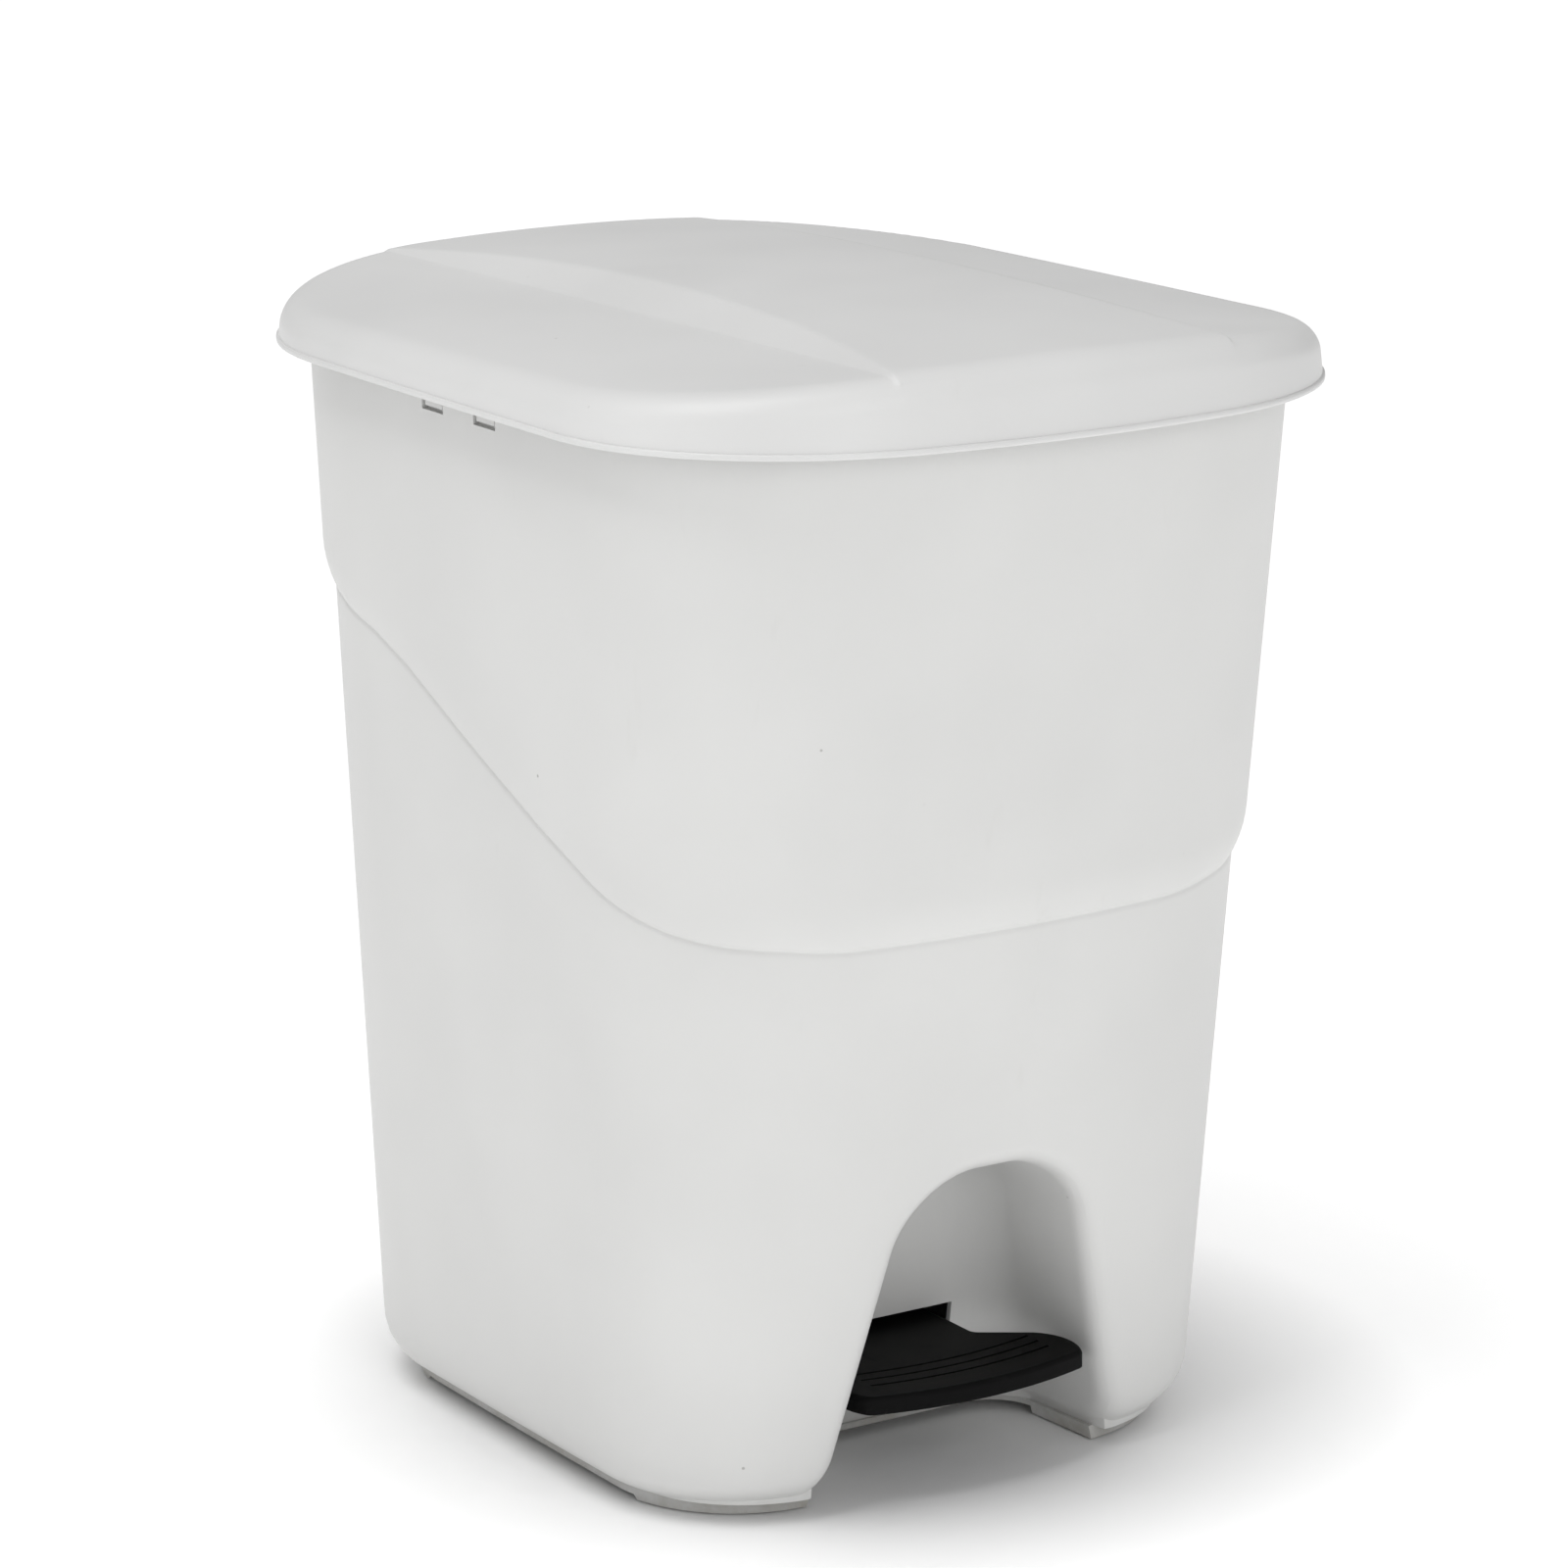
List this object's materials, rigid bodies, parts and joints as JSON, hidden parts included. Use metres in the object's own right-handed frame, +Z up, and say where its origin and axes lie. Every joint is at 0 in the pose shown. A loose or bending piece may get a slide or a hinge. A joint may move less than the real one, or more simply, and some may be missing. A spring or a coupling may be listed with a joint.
{
  "type": "pedal bin",
  "caption": "Free-standing waste bin with a flared body, an arched foot niche, a black pedal and a hinged lid lifted by a lever and push rod, over a removable inner bucket.",
  "frame": {"origin": "on the floor under the middle of the lid", "axes": "+Z up, +Y toward the hinge at the back, -Y toward the pedal at the front, X across the width"},
  "size_m": [0.3332, 0.3998, 0.4637],
  "materials": {
    "body_shell": "white satin moulded polypropylene",
    "base_plate": "white satin moulded polypropylene",
    "foot_pads": "dark grey soft rubber",
    "base_screws": "zinc plated",
    "pedal_lever": "zinc plated pressed steel",
    "lever_bush": "natural nylon",
    "pedal_tread": "black satin moulded plastic",
    "tread_screws": "zinc plated",
    "pivot_axle": "bright drawn steel",
    "axle_clips": "dark spring steel",
    "pivot_bracket_left": "zinc plated pressed steel",
    "pivot_bracket_right": "zinc plated pressed steel",
    "bracket_screws": "zinc plated",
    "push_rod": "zinc plated steel wire",
    "rod_clip": "dark spring steel",
    "rod_yoke": "natural nylon",
    "rod_guide_upper": "white nylon",
    "rod_guide_lower": "white nylon",
    "guide_screws": "zinc plated",
    "inner_bucket": "grey satin moulded polypropylene",
    "bail_wire": "zinc plated steel wire",
    "bail_grip": "black moulded plastic",
    "bucket_frame": "white satin moulded polypropylene",
    "lid_shell": "white satin moulded polypropylene",
    "lift_pin": "bright drawn steel",
    "lift_pin_clip": "dark spring steel",
    "hinge_rod": "bright drawn steel",
    "hinge_caps": "dark spring steel",
    "lid_buffers": "pale soft rubber"
  },
  "bodies": {
    "housing": {"body_shell": "body_shell", "base_plate": "base_plate", "foot_pads": "foot_pads", "base_screws": "base_screws", "bucket_frame": "bucket_frame", "hinge_rod": "hinge_rod", "hinge_caps": "hinge_caps", "pivot_bracket_left": "pivot_bracket_left", "pivot_bracket_right": "pivot_bracket_right", "bracket_screws": "bracket_screws", "pivot_axle": "pivot_axle", "axle_clips": "axle_clips", "rod_guide_upper": "rod_guide_upper", "rod_guide_lower": "rod_guide_lower", "guide_screws": "guide_screws"},
    "lid": {"lid_shell": "lid_shell", "lift_pin": "lift_pin", "lift_pin_clip": "lift_pin_clip", "lid_buffers": "lid_buffers"},
    "pedal": {"pedal_lever": "pedal_lever", "lever_bush": "lever_bush", "pedal_tread": "pedal_tread", "tread_screws": "tread_screws"},
    "rod": {"push_rod": "push_rod", "rod_clip": "rod_clip", "rod_yoke": "rod_yoke"},
    "bucket": {"inner_bucket": "inner_bucket"},
    "bail": {"bail_wire": "bail_wire", "bail_grip": "bail_grip"}
  },
  "joints": [
    {"name": "lid_hinge", "type": "hinge", "parent": "housing", "child": "lid", "pos_m": [0, 0.1915, 0.433], "axis": [-1, 0, 0], "range_deg": [0, 75]},
    {"name": "pedal_pivot", "type": "hinge", "parent": "housing", "child": "pedal", "pos_m": [0, -0.0049, 0.045], "axis": [1, 0, 0], "range_deg": [0, 11.98]},
    {"name": "rod_lift", "type": "slide", "parent": "housing", "child": "rod", "axis": [0, 0.0889, 0.996], "range_m": [0, 0.02922]},
    {"name": "bucket_lift", "type": "slide", "parent": "housing", "child": "bucket", "axis": [0, 0, 1], "range_m": [0, 0.002]},
    {"name": "bail_swing", "type": "hinge", "parent": "bucket", "child": "bail", "pos_m": [0, 0, 0.425], "axis": [-1, 0, 0], "range_deg": [0, 3]}
  ],
  "couplings": [
    {"joint": "pedal_pivot", "follows": "lid_hinge", "ratio": 0.15974},
    {"joint": "rod_lift", "follows": "lid_hinge", "m_per_rad": 0.022323}
  ]
}
